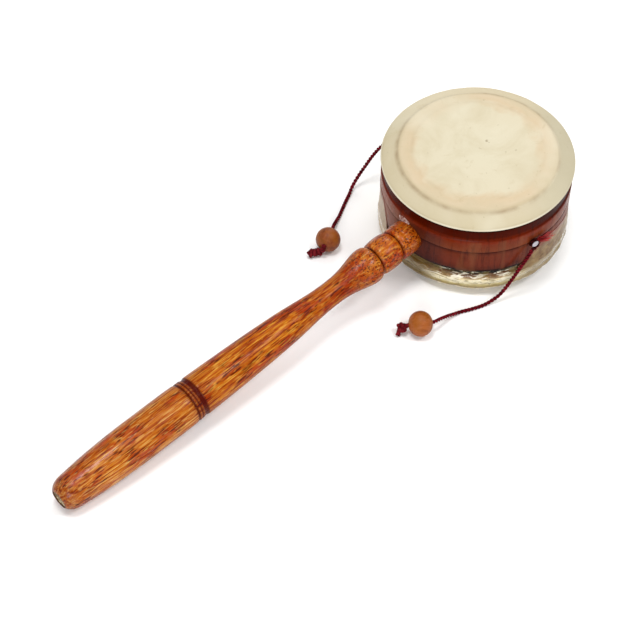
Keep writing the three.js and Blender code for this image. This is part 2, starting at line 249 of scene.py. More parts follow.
def twist(name, line, strand=STRAND, winding=WINDING, pitch=PITCH, sides=10):
    """Strands twisted round a line that has even steps."""
    step = length_of(line) / (len(line) - 1)
    frames = carried_sides(line)
    strands = []
    for number in range(PLIES):
        path = []
        for here, (_, a, b) in enumerate(frames):
            turn_by = math.tau * (number / PLIES + here * step / pitch)
            path.append(line[here] + winding * (math.cos(turn_by) * a + math.sin(turn_by) * b))
        strands.append(tube(path, [strand] * len(path), sides))
    piece = join_tubes(name, strands)
    for vertex in piece.data.vertices:
        vertex.co.z = max(vertex.co.z, 0)  # thread lies flat where it meets the table
    proud = [
        (corner - line[number // sides]).length / (strand + winding)
        for corners, _, _ in strands for number, corner in enumerate(corners)
    ]
    keep_in_mesh(piece, "proud", proud)
    return piece


cords = {side: twist(f"twisted_cord_{side}", line) for side, line in CORD_LINES.items()}
print({cord.name: len(cord.data.polygons) for cord in cords.values()})

# %% [markdown]
# ## The knots that hold the beads
# Past each bead the cord is tied into a knot that is too thick for the bead's hole. The right one is an
# overhand knot with a short cut tail that droops to the table. An overhand knot follows the trefoil
# curve, cut open where the cord enters. The left one bends down from the bead and is wound three times
# round itself, so it lies on the table as a row of lumps. The points are measured like the routes.

# %% Tie the two knots
def frame_along(start, direction, over=Vector((0, 0, 1))):
    """A frame at a point whose Z runs along a direction."""
    z = direction.normalized()
    x = (over - z * over.dot(z)).normalized()
    return Matrix.Translation(start) @ Matrix((x, z.cross(x), z)).transposed().to_4x4()


def overhand_points(size, depth):
    """An overhand knot round its own centre, entered along Z from below, in mm."""
    points = []
    for step in range(25):
        t = math.radians(200 + 320 * step / 24)
        x = math.sin(t) + 2 * math.sin(2 * t)
        y = math.cos(t) - 2 * math.cos(2 * t)
        points.append(Vector((x * size, y * size, -depth * math.sin(3 * t))))
    return points


def coil_points(turns, radius, pitch, start=0.0):
    points = []
    for step in range(round(turns * 10) + 1):
        angle = start + math.tau * step / 10
        points.append(Vector((radius * math.cos(angle), radius * math.sin(angle), pitch * step / 10)))
    return points


def tie(name, points, swelling):
    """The twisted cord drawn through points in the scene, thicker by its swelling."""
    line = even_steps(curve_through(points, 12), 0.25 * MM)
    return twist(name, line, 0.68 * swelling * MM, 0.36 * swelling * MM, PITCH * swelling, 12)


right_end, left_end = CORD_LINES["right"][-1], CORD_LINES["left"][-1]
right_knot = frame_along(on_table(-79.9, -28.8, 3.9), on_table(-79.9, -28.8, 3.9) - right_end)
left_knot = frame_along(on_table(-73.9, 36.6, 2.9), Vector((-7.1, 4.1, -0.3)))
knots = {
    "right": tie("end_knot_right", [
        CORD_LINES["right"][-4], right_end, right_end.lerp(right_knot.to_translation(), 0.3),
        *[right_knot @ (p * MM) for p in overhand_points(0.62, 1.25)],
        on_table(-81.6, -28.6, 2.6), on_table(-82.6, -29.1, 1.8), on_table(-83.3, -29.6, 1.4),
    ], 1.25),
    "left": tie("end_knot_left", [
        CORD_LINES["left"][-4], left_end, on_table(-74.5, 35.2, 6.9), on_table(-75.0, 35.1, 5.8),
        *[left_knot @ (p * MM) for p in coil_points(3.0, 1.15, 2.4, 0.2)],
    ], 1.35),
}
for knot in knots.values():
    print(knot.name, [round(side / MM, 1) for side in knot.dimensions], "mm")

# %% [markdown]
# ## A lathe for everything that is turned
# Both heads, the ring, the handle, the beads and the nails are round, so one helper makes them all.
# It starts from a small plane, merges it to a single point at the first place of the outline, draws the
# outline by extruding that point, and spins it once round the axis. The spin leaves a double seam and
# many points on the axis. They are merged, and the normals are set to point outwards.

# %% Make the lathe helpers
def alone(piece):
    """Selects one piece and makes it the active one."""
    bpy.ops.object.select_all(action="DESELECT")
    piece.select_set(True)
    bpy.context.view_layer.objects.active = piece


def fair(stations, per_span=4):
    """A smooth outline through a few stations."""
    return [(p.x, p.y) for p in curve_through([(a, b, 0) for a, b in stations], per_span)]


def spin_outline(name, places, axis, steps):
    """Draws a chain of edges from place to place and spins it once round an axis."""
    bpy.ops.object.select_all(action="DESELECT")
    bpy.ops.mesh.primitive_plane_add(size=MM, location=places[0])
    piece = bpy.context.object
    piece.name = piece.data.name = name
    bpy.ops.object.transform_apply(location=True)
    bpy.ops.object.mode_set(mode="EDIT")
    bpy.ops.mesh.select_all(action="SELECT")
    bpy.ops.mesh.merge(type="CENTER")
    for here, there in zip(places, places[1:]):
        bpy.ops.mesh.extrude_vertices_move(TRANSFORM_OT_translate={"value": there - here})
    bpy.ops.mesh.select_all(action="SELECT")
    bpy.ops.mesh.spin(steps=steps, angle=math.tau, center=(0, 0, 0), axis=axis)
    bpy.ops.mesh.select_all(action="SELECT")
    bpy.ops.mesh.remove_doubles(threshold=0.004 * MM)
    bpy.ops.mesh.normals_make_consistent(inside=False)
    bpy.ops.object.mode_set(mode="OBJECT")
    return piece


ROUND = 288  # how many faces go round the drum


def turn(name, outline, steps=ROUND):
    """Turns an outline of (radius, height) in mm round the drum's axis."""
    return spin_outline(name, [Vector((r, 0, h)) * MM for r, h in outline], (0, 0, 1), steps)


def finish_with(piece, kind, **settings):
    """Adds a modifier, sets it and applies it."""
    alone(piece)
    modifier = piece.modifiers.new(kind.title(), kind)
    for setting, value in settings.items():
        setattr(modifier, setting, value)
    bpy.ops.object.modifier_apply(modifier=modifier.name)


def lay_in_place(piece, place=DRUM):
    """Lays a finished piece in place and puts that place in its mesh."""
    alone(piece)
    piece.matrix_world = place
    bpy.ops.object.transform_apply(location=True, rotation=True, scale=True)


def smooth(piece, angle=40):
    alone(piece)
    bpy.ops.object.shade_smooth_by_angle(angle=math.radians(angle))


def make_uneven(piece, name, size, strength, depth=2, group=""):
    """Moves a piece's points in and out with a soft random pattern; size and strength are in mm."""
    pattern = bpy.data.textures.new(name, "CLOUDS")
    pattern.noise_scale = size * MM
    pattern.noise_depth = depth
    finish_with(
        piece, "DISPLACE", texture=pattern, strength=strength * MM, mid_level=0.5, vertex_group=group
    )


def clamped(share):
    return min(1, max(0, share))


print("the drum is turned in", ROUND, "steps")

# %% [markdown]
# ## The upper head
# The rawhide was stretched wet over the ring's land, so it shows three zones: the free membrane inside
# the land, the flat on the land, and a flange that slopes to a cut edge just past the wood. The outline
# is drawn from the centre out. It gets its thickness with Solidify after its normals are right, and two
# soft clouds displace it a little, because dried skin is never quite even.

# %% Turn the upper head
EDGE = 21.2  # the upper cut edge above the handle's axis, in mm
UPPER_HIDE, LOWER_HIDE = 0.9, 0.75  # how thick the two skins are, in mm
upper_outline = fair([
    (0, 5.2), (12, 5.23), (24, 5.32), (31, 5.4), (33.6, 5.42), (34.8, 5.28), (36.4, 5.16), (39.2, 5.12),
    (40.5, 5.0), (41.2, 4.7), (41.7, 4.28), (42.4, 3.96), (43.6, 3.45), (46, 2.3), (48.2, 1.2),
    (49.5, 0.45), (50.05, 0.06),
])
upper_head = turn("upper_rawhide_head", [(r, EDGE + h) for r, h in upper_outline])
make_uneven(upper_head, "slack_of_the_skin", 26, 0.55)
make_uneven(upper_head, "puckers", 7, 0.18)
finish_with(upper_head, "SOLIDIFY", thickness=UPPER_HIDE * MM, offset=-1)
finish_with(
    upper_head, "BEVEL", width=0.16 * MM, segments=2, limit_method="ANGLE", angle_limit=math.radians(50)
)
smooth(upper_head)
lay_in_place(upper_head)
print("upper head:", len(upper_head.data.polygons), "faces")

# %% [markdown]
# ## The lower head
# The lower skin was drawn further up the wall and stuck down, so it ends in a skirt. From the joint it
# runs down to a crease, rolls out over a soft bulge, dips, and closes in a thin lip at its widest line.
# Below the lip the flange and the flat mirror those of the upper head. The skirt was varnished while it
# was wrinkled: two stronger clouds, one of them finer, give it those wrinkles, but only where a vertex
# group says so, and the flat that the drum lies on stays even.

# %% Turn the lower head
skirt = fair([
    (48.62, -33.0), (48.66, -34.3), (48.82, -35.4), (49.0, -35.95), (49.5, -36.35), (50.05, -36.95),
    (50.45, -37.9), (50.62, -39.2), (50.52, -40.5), (50.22, -41.6), (50.1, -42.4), (50.28, -43.1),
    (50.62, -43.7), (50.72, -44.4), (50.5, -45.1), (49.9, -45.62), (48.2, -46.45), (45.6, -47.7),
    (43.2, -48.85), (42.1, -49.5), (41.2, -50.0), (40.2, -50.2), (36, -50.2),
])
lower_outline = [*skirt, (24, -50.2), (12, -50.2), (0, -50.2)]
lower_head = turn("lower_rawhide_head", [(r, EDGE + h) for r, h in lower_outline])
WRINKLED_FROM, WRINKLED_TO = -49.4, -33.2  # the wrinkles' lowest and highest place below the edge
wrinkled = lower_head.vertex_groups.new(name="wrinkled")
for vertex in lower_head.data.vertices:
    depth = vertex.co.z / MM - EDGE
    share = clamped((depth - WRINKLED_FROM) / 2.5) * clamped((WRINKLED_TO - depth) / 1.5)
    wrinkled.add([vertex.index], share, "REPLACE")
make_uneven(lower_head, "long_wrinkles", 7, 0.85, group="wrinkled")
make_uneven(lower_head, "short_wrinkles", 2.6, 0.62, group="wrinkled")
finish_with(lower_head, "SOLIDIFY", thickness=LOWER_HIDE * MM, offset=-1)
smooth(lower_head, 60)
lay_in_place(lower_head)
print("lower head:", len(lower_head.data.polygons), "faces")

# %% [markdown]
# ## Where the lower skin was drawn higher
# At the right nail and at the far left the skin was pulled up past the joint and smoothed down on the
# wall. It is a thin sheet that goes right round: where the skin is low it is tucked into the soft bulge,
# and at those two places its upper edge climbs the wall. The list gives that edge as an angle round the
# drum and a height. Only its visible parts come from the photograph; how it ends at the back is chosen.
# The mesh keeps how far below that edge each point lies, because the finish fades out towards it.

# %% Draw the skin up the wall
SKIN_EDGE = [
    (-180, -18), (-112, -18), (-108, -11.0), (-103, -6.4), (-98, -3.4), (-92, -1.2), (-84, -0.6),
    (-76, -1.6), (-68, -3.4), (-56, -7.0), (-40, -14), (-34, -18), (92, -18), (100, -10), (118, -2),
    (134, 2.4), (146, 3.0), (151, 2.6), (154, -1), (157, -8), (160, -18), (180, -18),
]
SHEET_FOOT = -20  # the height of the sheet's lower edge, inside the bulge, in mm
SHEET_RADIUS = 49.78  # where it lies on the wall, in mm
BULGE_TOP, TUCK_TOP = -9, -14  # below these heights it spreads with the bulge, and is tucked into it


def edge_height(angle):
    """The height of the sheet's upper edge at an angle, eased from one place of the list to the next."""
    for (before, low), (after, high) in zip(SKIN_EDGE, SKIN_EDGE[1:]):
        if before <= angle <= after:
            share = (angle - before) / (after - before)
            return low + (high - low) * share * share * (3 - 2 * share)
    return SKIN_EDGE[-1][1]


sheet = [(49.9 + 0.012 * step**1.6, -step) for step in range(21)]
raised_skin = turn("raised_lower_skin", sheet)
below_edge = []
for vertex in raised_skin.data.vertices:
    x, y, _ = vertex.co / MM
    share = -vertex.co.z / MM / 20
    angle = math.degrees(math.atan2(y, x))
    top = edge_height(angle) + 0.5 * noise.noise(Vector((x, y, 0)) * 0.4)
    height = top + (SHEET_FOOT - top) * share
    below_edge.append(top - height)
    spread = 0.43 * clamped((BULGE_TOP - height) / 6)
    tucked = 0.6 * clamped((TUCK_TOP - top) / 3)
    radius = SHEET_RADIUS + spread - tucked + 0.1 * noise.noise(Vector((x, y, height)) * 0.3)
    vertex.co = Vector((radius * x, radius * y, height * math.hypot(x, y))) / math.hypot(x, y) * MM
keep_in_mesh(raised_skin, "below_edge", below_edge)
finish_with(raised_skin, "SOLIDIFY", thickness=0.2 * MM, offset=-1)
smooth(raised_skin, 60)
lay_in_place(raised_skin)
print("raised skin:", len(raised_skin.data.polygons), "faces")

# %% [markdown]
# ## The wooden ring
# The ring is one turned piece of dark lacquered wood. Its upper band lies a little behind the wall and
# ends in a rounded step that catches the light, a fine groove runs round the middle, and the lower end
# is cut back for the skirt. The outline closes on itself, with the lands for the heads and the hollow
# between them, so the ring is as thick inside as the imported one.

# %% Turn the ring
ring_outline = [
    (34.4, 25.1), (40.9, 25.1), (48.6, 20.05), (48.75, 19.9), (48.8, 19.6), (48.8, 16), (48.78, 13.4),
    (48.84, 12.95), (49.02, 12.6), (49.3, 12.3), (49.5, 11.95), (49.58, 11.5), (49.6, 10.6), (49.6, 7),
    (49.6, 4.3), (49.57, 4.06), (49.46, 3.92), (49.26, 3.8), (49.18, 3.7), (49.26, 3.6), (49.46, 3.48),
    (49.57, 3.34), (49.6, 3.1), (49.6, -2), (49.6, -8), (49.6, -11.0), (49.52, -11.3), (49.3, -11.45),
    (48.3, -11.6), (48.0, -12.1), (48.0, -22.7), (40.9, -27.8), (34.4, -27.8), (34.4, -19.8), (41, -19.8),
    (41, 17.1), (34.4, 17.1), (34.4, 25.1),
]
ring = turn("turned_ring", ring_outline)
smooth(ring, 35)
lay_in_place(ring)
print("ring:", len(ring.data.polygons), "faces")

# %% [markdown]
# ## The handle
# The handle was turned from one stick: a collar, a bead, a vase that narrows to a neck, a long grip, two
# grooves, and the butt with its flat cut end, a little hollow. Its outline lies along X, from the drum to
# the butt. The collar has to fit the round wall, so the handle starts a little inside it and a cylinder
# of the wall's size is cut away with a Boolean, as a maker would cope it.

# %% Turn the handle and cope its collar
handle_outline = [
    (8.4, 44.0), (8.45, 49.4), (8.62, 49.9), (8.86, 50.3), (9.0, 50.9), (9.04, 52.2), (9.04, 55.4),
    (8.98, 55.85), (8.78, 56.1), (8.62, 56.3), (8.74, 56.5), (8.84, 56.9), (8.9, 57.8), (8.86, 58.8),
    (8.62, 59.6), (8.1, 60.2), (7.5, 60.5), (7.32, 60.65), (7.6, 60.85), (8.3, 61.3), (8.8, 62.1),
    (9.14, 63.4), (9.33, 65.2), (9.38, 67.4), (9.3, 69.6), (9.12, 71.6), (8.8, 73.0), (8.2, 74.0),
    (7.5, 74.6), (7.22, 74.85), (7.5, 75.05), (8.4, 75.4), (9.1, 75.9), (9.56, 76.8), (9.8, 78.4),
    (9.76, 80.4), (9.44, 82.8), (8.9, 85.2), (8.14, 88.4), (7.36, 92.0), (6.78, 95.5), (6.44, 99.0),
    (6.33, 103.5), (6.36, 107.5), (6.5, 112), (6.92, 117.6), (7.55, 124), (8.2, 131), (8.66, 137.5),
    (9.0, 144), (9.3, 150), (9.55, 156), (9.77, 162), (9.96, 168.6), (10.13, 175), (10.29, 181),
    (10.44, 187), (10.5, 191.4), (10.48, 192.2), (10.38, 192.6), (10.14, 192.8), (10.06, 193.2),
    (10.05, 193.9), (10.06, 194.6), (10.14, 195.0), (10.36, 195.2), (10.46, 195.5), (10.47, 195.9),
    (10.43, 196.3), (10.26, 196.6), (10.43, 196.9), (10.48, 197.3), (10.44, 197.8), (10.12, 198.1),
    (9.86, 198.5), (10.12, 198.9), (10.46, 199.2), (10.56, 199.7), (10.64, 202), (10.7, 206), (10.7, 214),
    (10.66, 222), (10.66, 230), (10.55, 237), (10.32, 243.5), (10.0, 250), (9.6, 256), (9.1, 261.5),
    (8.66, 266.2), (8.3, 268.9), (7.72, 270.6), (6.86, 271.95), (5.9, 273.0), (5.1, 273.6), (4.84, 273.72),
    (4.6, 273.74), (4.42, 273.6), (4.25, 273.35), (3.4, 273.2), (1.7, 273.15), (0, 273.15),
]
stations = [Vector((-reach, 0, radius)) * MM for radius, reach in [(0, 44), *handle_outline]]
handle = spin_outline("turned_handle", stations, (1, 0, 0), 128)
bpy.ops.object.select_all(action="DESELECT")
COPE = 49.62  # the radius of the wall that the collar is fitted to, in mm
bpy.ops.mesh.primitive_cylinder_add(vertices=512, radius=COPE * MM, depth=60 * MM)
wall_cutter = bpy.context.object
finish_with(handle, "BOOLEAN", operation="DIFFERENCE", solver="EXACT", object=wall_cutter)
bpy.data.objects.remove(wall_cutter)
smooth(handle, 50)
lay_in_place(handle)
print("handle:", len(handle.data.polygons), "faces,", round(max(handle.dimensions) / MM, 1), "mm long")

# %% [markdown]
# ## The beads
# Each cord carries a small wooden ball, a little flattened towards its hole. It is turned like the rest,
# with an open hole whose rim is rounded by wear, modelled once and copied. Each copy has its own mesh
# and is laid on its cord, with its hole along the way the cord takes.

# %% Turn one bead and copy it
def bead_outline(radius=6.6, half=6.25, hole=0.95):
    points = []
    for step in range(33):
        angle = math.radians(-79 + 158 * step / 32)
        points.append((radius * math.cos(angle) ** 0.96, half * math.sin(angle)))
    rim = [(hole + 0.14, points[-1][1] + 0.02), (hole, points[-1][1] - 0.2)]
    return [(r, -h) for r, h in reversed(rim)] + points + rim + [(hole, 0)]


outline = bead_outline()
outline.append(outline[0])
first_bead = turn("wooden_bead_right", outline, 96)
smooth(first_bead, 60)
second_bead = first_bead.copy()
second_bead.data = first_bead.data.copy()
second_bead.name = second_bead.data.name = "wooden_bead_left"
bpy.context.collection.objects.link(second_bead)
beads = {"right": first_bead, "left": second_bead}
bead_places = {}
for side, route in ROUTES.items():
    before, middle, after = (on_table(*p) for p in route[-3:])
    bead_places[side] = frame_along(middle, after - before)
    lay_in_place(beads[side], bead_places[side])
print("bead:", [round(side / MM, 1) for side in first_bead.dimensions], "mm")

# %% [markdown]
# ## The nails and the cords' hitches
# A small bright nail with a domed head holds each cord on the groove of the ring. The cord is laid once
# round the shank under the head, and its end comes out frayed behind it. Places at a nail are measured
# along the wall towards the front, up, and out from the wall, so the same list serves both sides.

# %% Drive the nails and lay the hitches
NAIL_ANGLE = 101  # degrees from +X, to either side
WALL = 49.6  # the ring's radius, in mm
GROOVE_HEIGHT = 3.7


def nail_frame(side):
    """Along the wall towards +X, up, and out of the wall."""
    angle = math.radians(NAIL_ANGLE)
    out = Vector((math.cos(angle), SIDES[side] * math.sin(angle), 0))
    along = Vector((math.sin(angle), -SIDES[side] * math.cos(angle), 0))
    rise = Vector((0, 0, 1))
    spot = Matrix.Translation(WALL * MM * out + GROOVE_HEIGHT * MM * rise)
    return DRUM @ spot @ Matrix((along, rise, out)).transposed().to_4x4()


nail_outline = [
    (0, -6.5), (0.7, -5.8), (0.7, 2.0), (1.5, 2.04), (1.82, 2.12), (1.9, 2.26), (1.8, 2.42),
    (1.5, 2.64), (1.1, 2.82), (0.55, 2.94), (0, 2.98),
]
HITCH = [
    (1.5, -2.0, 2.1), (1.9, -0.6, 1.6), (1.5, 0.8, 1.3), (0.35, 1.7, 1.15), (-0.95, 1.5, 1.05),
    (-1.7, 0.35, 1.0), (-1.5, -0.9, 0.95), (-0.45, -1.65, 0.9), (0.8, -1.5, 0.86), (1.5, -0.7, 0.82),
]
nails, hitches = {}, {}
for side in SIDES:
    at_nail = nail_frame(side)
    nails[side] = turn(f"domed_nail_{side}", nail_outline, 48)
    smooth(nails[side], 60)
    lay_in_place(nails[side], at_nail)
    path = [CORD_LINES[side][0], *[at_nail @ (Vector(p) * MM) for p in HITCH]]
    hitches[side] = twist(f"cord_hitch_{side}", even_steps(curve_through(path, 12), 0.2 * MM))
print({nail.name: [round(side / MM, 1) for side in nail.dimensions] for nail in nails.values()})

# %% [markdown]
# ## The frayed ends
# Past the nail the cord is cut and its fibres have come apart into a small red tuft. Each fibre is a
# very thin tube that starts in the cord's end and wanders away from the others. A fixed seed keeps the
# tuft the same in every run.

# %% Fray the ends into tufts
def fray(name, at_nail, seed, count=84):
    chance = random.Random(seed)
    fibres = []
    for _ in range(count):
        reach = chance.triangular(2.0, 13.0, 4.5)
        start = Vector((1.7, 1.1, 1.1)) + Vector([chance.uniform(-0.5, 0.5) for _ in range(3)])
        drift = Vector((1, chance.gauss(-0.36, 0.26), chance.gauss(0.1, 0.12)))
        curl = Vector((0, chance.gauss(0, 0.7), chance.gauss(0, 0.35)))
        points = []
        for t in (0, 0.3, 0.6, 1):
            point = start + drift * (reach * t) + curl * math.sin(2.6 * t)
            point.z = max(point.z, 0.15) - point.x**2 / (2 * WALL)  # the wall curves away from the nail
            points.append(at_nail @ (point * MM))
        line = even_steps(curve_through(points, 8), 0.5 * MM)
        thick = chance.uniform(0.09, 0.17) * MM
        fibres.append(tube(line, [thick * (1 - 0.6 * n / len(line)) for n in range(len(line))], 4))
    piece = join_tubes(name, fibres)
    proud = [number / len(corners) for corners, _, _ in fibres for number in range(len(corners))]
    keep_in_mesh(piece, "proud", proud)
    return piece


tufts = {
    side: fray(f"frayed_tuft_{side}", nail_frame(side), seed) for side, seed in (("right", 7), ("left", 11))
}
print({tuft.name: len(tuft.data.polygons) for tuft in tufts.values()})

# %% [markdown]
# ## A smear of glue
# Above the collar some clear glue was squeezed out of the joint and dried on the ring. It is a small
# flat drop: a ball squashed against the wall, with a cloud that makes its rim uneven.

# %% Press a drop of glue on the ring
bpy.ops.object.select_all(action="DESELECT")
bpy.ops.mesh.primitive_ico_sphere_add(subdivisions=5, radius=1)
glue = bpy.context.object
glue.name = glue.data.name = "glue_drop"
bpy.ops.object.mode_set(mode="EDIT")
bpy.ops.mesh.select_all(action="SELECT")
bpy.ops.transform.resize(value=(0.6 * MM, 3.8 * MM, 1.9 * MM))
bpy.ops.object.mode_set(mode="OBJECT")
make_uneven(glue, "glue_rim", 1.3, 2.0, 3)
smooth(glue, 80)
GLUE_ANGLE, GLUE_HEIGHT = math.radians(176.2), 8.6
glue_spot = Vector((WALL * math.cos(GLUE_ANGLE), WALL * math.sin(GLUE_ANGLE), GLUE_HEIGHT)) * MM
lay_in_place(glue, DRUM @ Matrix.Translation(glue_spot) @ Matrix.Rotation(GLUE_ANGLE, 4, "Z"))
print("glue:", [round(side / MM, 1) for side in glue.dimensions], "mm")

# %% [markdown]
# ## Helpers for the finishes
# A finish is a small graph of nodes. These helpers place a node, set or link its sockets, and read the
# object's coordinates back into the drum's own frame, so that a grain can run along the handle
# and a band can follow the ring. Colours are given as they look on a screen and turned to linear light.
# Most finishes are a ramp of such colours with others laid over it, each where a mask says so.

# %% Make the node helpers
LIGHT = 1.5  # the lamps are this much brighter than white paper needs
SIDE_LIGHT = 1.06  # what reaches the skirt of the lower head, which faces sideways
DRUM_RADIUS = 0.05


def colour(red, green, blue, light=LIGHT):
    """The finish that looks like this screen colour, 0 to 255, in a given light."""
    share = [c / 255 for c in (red, green, blue)]
    return (*[(c / 12.92 if c <= 0.04045 else ((c + 0.055) / 1.055) ** 2.4) / light for c in share], 1)


def tone(shade, light):
    """A screen colour in a given light; a finished colour, which has a fourth number, stays as it is."""
    return colour(*shade, light) if len(shade) == 3 else shade


def put(kind, sockets, tree=None, **settings):
    """Places a node and sets its sockets. Where one is given another node's socket, the two are linked,
    and the node joins that one's graph; only a node that reads from no other is told its graph."""
    linked = {socket: value for socket, value in sockets.items() if isinstance(value, bpy.types.NodeSocket)}
    if tree is None:
        tree = next(iter(linked.values())).id_data
    node = tree.nodes.new(kind)
    for setting, value in settings.items():
        setattr(node, setting, value)
    for socket, value in sockets.items():
        if socket in linked:
            tree.links.new(value, node.inputs[socket])
        else:
            node.inputs[socket].default_value = value
    return node


def reckon(operation, a, b=0.0, clamp=False):
    return put("ShaderNodeMath", {0: a, 1: b}, operation=operation, use_clamp=clamp).outputs[0]


def times(a, b, clamp=False):
    return reckon("MULTIPLY", a, b, clamp)


def reckon_vector(operation, a, b=(0, 0, 0), result="Vector"):
    return put("ShaderNodeVectorMath", {0: a, 1: b}, operation=operation).outputs[result]


def stretched(spot, by):
    return reckon_vector("MULTIPLY", spot, by)


def distance_off(spot, by):
    """How far a place lies from the origin, counting only the directions that are kept."""
    return reckon_vector("LENGTH", stretched(spot, by), result="Value")


def measured(value, low, high):
    """Maps a length between two others to the range from 0 to 1."""
    sockets = {"Value": value, "From Min": low, "From Max": high}
    return put("ShaderNodeMapRange", sockets).outputs["Result"]


def ramp(value, stops):
    """A colour ramp; each stop is a place from 0 to 1 and a colour or a grey value."""
    node = put("ShaderNodeValToRGB", {0: value})
    elements = node.color_ramp.elements
    while len(elements) < len(stops):
        elements.new(0.5)
    for element, (place, shade) in zip(elements, stops):
        element.position = place
        element.color = shade if isinstance(shade, tuple) else (shade, shade, shade, 1)
    return node.outputs["Color"]


def shades(value, stops, light=LIGHT):
    """A ramp of screen colours."""
    return ramp(value, [(place, tone(shade, light)) for place, shade in stops])


def mixed(share, first, second, blend="MIX"):
    node = put("ShaderNodeMix", {0: share, 6: first, 7: second}, data_type="RGBA", blend_type=blend)
    return node.outputs[2]


def layered(base, layers, light=LIGHT):
    """Screen colours laid over a base, each given as a mask, how much it covers there, and the colour."""
    for mask, share, shade in layers:
        base = mixed(times(mask, share), base, tone(shade, light))
    return base


def spot_in(tree, place):
    """The object's coordinates, read in the frame of a place."""
    found = put("ShaderNodeTexCoord", {}, tree).outputs["Object"]
    sockets = {"Vector": found, "Location": place.to_translation(), "Rotation": place.to_euler()}
    return put("ShaderNodeMapping", sockets, vector_type="TEXTURE").outputs["Vector"]


def noise_at(spot, scale, detail=2.0, roughness=0.5, distortion=0.0):
    sockets = {
        "Vector": spot, "Scale": scale, "Detail": detail, "Roughness": roughness, "Distortion": distortion,
    }
    return put("ShaderNodeTexNoise", sockets).outputs["Fac"]


def patches(spot, scale, low, high, detail=2.0, roughness=0.5, distortion=0.0):
    """A mask of soft patches, where noise lies between two values."""
    return measured(noise_at(spot, scale, detail, roughness, distortion), low, high)


def shaken(value, spot, by, scale, detail, roughness=0.5, distortion=0.0):
    """A value that noise moves up and down a little."""
    shake = reckon("SUBTRACT", noise_at(spot, scale, detail, roughness, distortion), 0.5)
    return reckon("ADD", value, times(shake, by))


def facing(spot, angle, near, far):
    """A mask that is white on the side of the drum at an angle and fades out either way."""
    outwards = reckon_vector("NORMALIZE", stretched(spot, (1, 1, 0)))
    way = (math.cos(math.radians(angle)), math.sin(math.radians(angle)), 0)
    towards = reckon_vector("DOT_PRODUCT", outwards, way, "Value")
    return measured(towards, math.cos(math.radians(far)), math.cos(math.radians(near)))


def unrolled(spot, squeeze):
    """The drum's side laid flat: the way round it, squeezed, and the height."""
    x, y, z = put("ShaderNodeSeparateXYZ", {0: spot}).outputs
    way_round = times(reckon("ARCTAN2", y, x), DRUM_RADIUS * squeeze)
    return put("ShaderNodeCombineXYZ", {0: way_round, 2: z}).outputs["Vector"]


def new_finish(name, sockets):
    """A material with an empty graph, a Principled shader with these values, and its output."""
    finish = bpy.data.materials.new(name)
    finish.use_nodes = True
    finish.node_tree.nodes.clear()
    body = put("ShaderNodeBsdfPrincipled", sockets, finish.node_tree)
    put("ShaderNodeOutputMaterial", {"Surface": body.outputs["BSDF"]})
    return finish.node_tree, body, finish


def feed(body, socket, value):
    body.id_data.links.new(value, body.inputs[socket])


def bumped(body, height, strength, distance):
    """Sends a height through a Bump node to the shader; distance is in mm."""
    sockets = {"Height": height, "Strength": strength, "Distance": distance * MM}
    feed(body, "Normal", put("ShaderNodeBump", sockets).outputs["Normal"])


print("in linear light, screen white is", [round(share, 3) for share in colour(255, 255, 255)[:3]])

# %% [markdown]
# ## Effects that several finishes share
# Grain, pores and specks appear on more than one piece, so each is a node group that is built once and
# placed with its own values. A group gives out a mask or a value, and each finish decides what it does
# with it. Streaks are noise that is drawn out along one direction. Pores are short dark dashes: the
# same noise, much finer, cut off near its top. Specks are the rare high places of an even noise.

# %% Build the shared groups
def new_group(name, inputs, outputs):
    """An empty group with its own sockets, and the sockets inside it that the values come from and go to."""
    group = bpy.data.node_groups.new(name, "ShaderNodeTree")
    for title in inputs:
        kind = "NodeSocketVector" if title in ("Spot", "Squeeze") else "NodeSocketFloat"
        group.interface.new_socket(title, in_out="INPUT", socket_type=kind)
    for title in outputs:
        group.interface.new_socket(title, in_out="OUTPUT", socket_type="NodeSocketFloat")
    return group, put("NodeGroupInput", {}, group).outputs, put("NodeGroupOutput", {}, group).inputs


STREAKS, came, went = new_group("grain_streaks", ("Spot", "Squeeze", "Scale", "Waver"), ("Streaks", "Broad"))
squeezed = stretched(came["Spot"], came["Squeeze"])
fine = noise_at(squeezed, came["Scale"], 4.0, 0.6, came["Waver"])
broad = noise_at(squeezed, times(came["Scale"], 0.28))
STREAKS.links.new(fine, went["Streaks"])
STREAKS.links.new(broad, went["Broad"])

PORES, came, went = new_group("wood_pores", ("Spot", "Squeeze", "Scale", "Share"), ("Pores",))
dashes = noise_at(stretched(came["Spot"], came["Squeeze"]), came["Scale"], 1.0, 0.5, 0.2)
above = reckon("SUBTRACT", dashes, came["Share"])
PORES.links.new(times(above, 14.0, clamp=True), went["Pores"])

SPECKS, came, went = new_group("specks", ("Spot", "Scale", "Share"), ("Specks",))
above = reckon("SUBTRACT", noise_at(came["Spot"], came["Scale"]), came["Share"])
SPECKS.links.new(times(above, 12.0, clamp=True), went["Specks"])


def streaks_at(spot, squeeze, scale, waver):
    sockets = {"Spot": spot, "Squeeze": squeeze, "Scale": scale, "Waver": waver}
    return put("ShaderNodeGroup", sockets, node_tree=STREAKS).outputs


def pores_at(spot, squeeze, scale, share):
    sockets = {"Spot": spot, "Squeeze": squeeze, "Scale": scale, "Share": share}
    return put("ShaderNodeGroup", sockets, node_tree=PORES).outputs["Pores"]


def specks_at(spot, scale, share):
    sockets = {"Spot": spot, "Scale": scale, "Share": share}
    return put("ShaderNodeGroup", sockets, node_tree=SPECKS).outputs["Specks"]


print("shared groups:", STREAKS.name, PORES.name, SPECKS.name)
